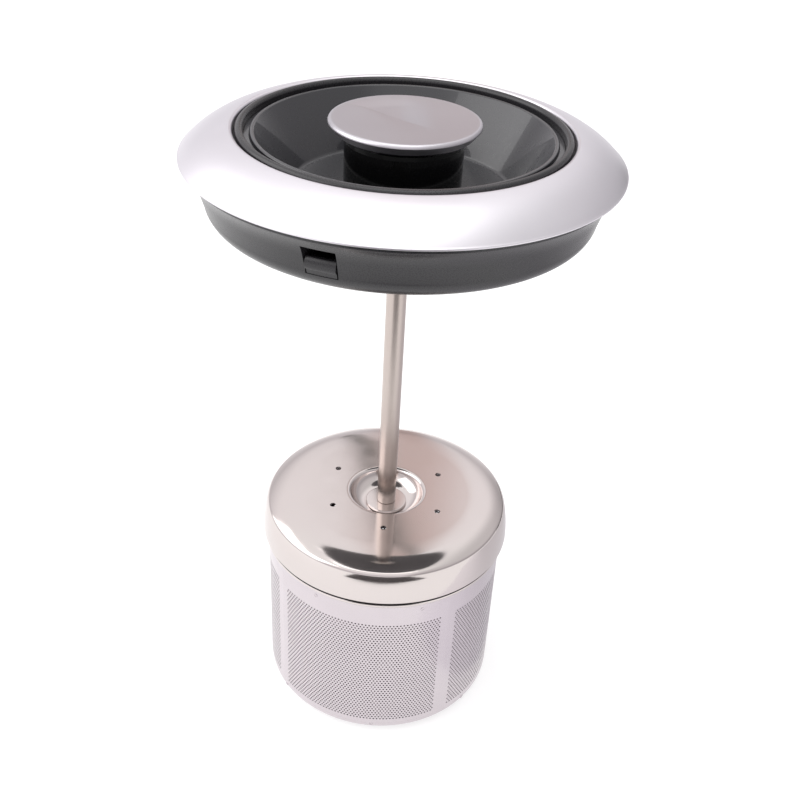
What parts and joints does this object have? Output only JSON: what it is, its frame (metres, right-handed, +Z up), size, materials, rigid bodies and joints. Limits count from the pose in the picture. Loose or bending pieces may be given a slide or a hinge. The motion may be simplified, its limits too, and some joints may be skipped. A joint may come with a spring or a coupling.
{
  "type": "tea maker infuser lid",
  "caption": "Jug lid with a knob and sliding rod that lifts a perforated steel tea basket, which pulls off its own lid; sprung latch fingers in the skirt.",
  "frame": {"origin": "centre of the flat underside of the basket", "axes": "+Z up along the rod, -Y the front, +X to the right seen from the front"},
  "size_m": [0.12, 0.12, 0.1977],
  "materials": {
    "satin_aluminium": "bead-blasted and anodised, satin",
    "dark_plastic": "fine spark texture, semi-matt",
    "funnel_plastic": "polished moulding, gloss",
    "black_plastic": "polished moulding, gloss",
    "bush_plastic": "plain moulding",
    "seal_rubber": "moulded",
    "rod_steel": "centreless ground, fine rings",
    "polished_steel": "polished sheet",
    "basket_steel": "rolled sheet, satin",
    "fastener_steel": "turned"
  },
  "bodies": {
    "lid": {"trim_ring": "satin_aluminium", "lid_housing": "dark_plastic", "funnel_bowl": "funnel_plastic", "lid_base": "dark_plastic", "rod_bush": "bush_plastic", "grip_ring": "seal_rubber", "bush_nut": "fastener_steel"},
    "plunger": {"knob_cap": "satin_aluminium", "knob_stem": "black_plastic", "knob_washer": "fastener_steel", "knob_screw": "fastener_steel", "lift_rod": "rod_steel", "rod_washer": "polished_steel", "basket_lid": "polished_steel", "clamp_washer": "fastener_steel", "cap_nut": "fastener_steel"},
    "basket": {"basket_rim": "basket_steel", "basket_wall": "basket_steel", "basket_base": "basket_steel"},
    "latch_front": {"latch_front": "dark_plastic"},
    "latch_rear": {"latch_rear": "dark_plastic"}
  },
  "joints": [
    {"name": "basket_pull", "type": "slide", "parent": "basket", "child": "plunger", "axis": [0, 0, 1], "range_m": [0, 0.07]},
    {"name": "plunger_slide", "type": "slide", "parent": "plunger", "child": "lid", "axis": [0, 0, -1], "range_m": [0, 0.095]},
    {"name": "latch_front_flex", "type": "hinge", "parent": "lid", "child": "latch_front", "pos_m": [-0.01648, -0.05011, 0.1758], "axis": [-0.95, 0.3123, 0], "range_deg": [0, 6.5], "stiffness_Nm_per_rad": 0.3},
    {"name": "latch_rear_flex", "type": "hinge", "parent": "lid", "child": "latch_rear", "pos_m": [0.01648, 0.05011, 0.1758], "axis": [0.95, -0.3123, 0], "range_deg": [0, 6.5], "stiffness_Nm_per_rad": 0.3}
  ]
}
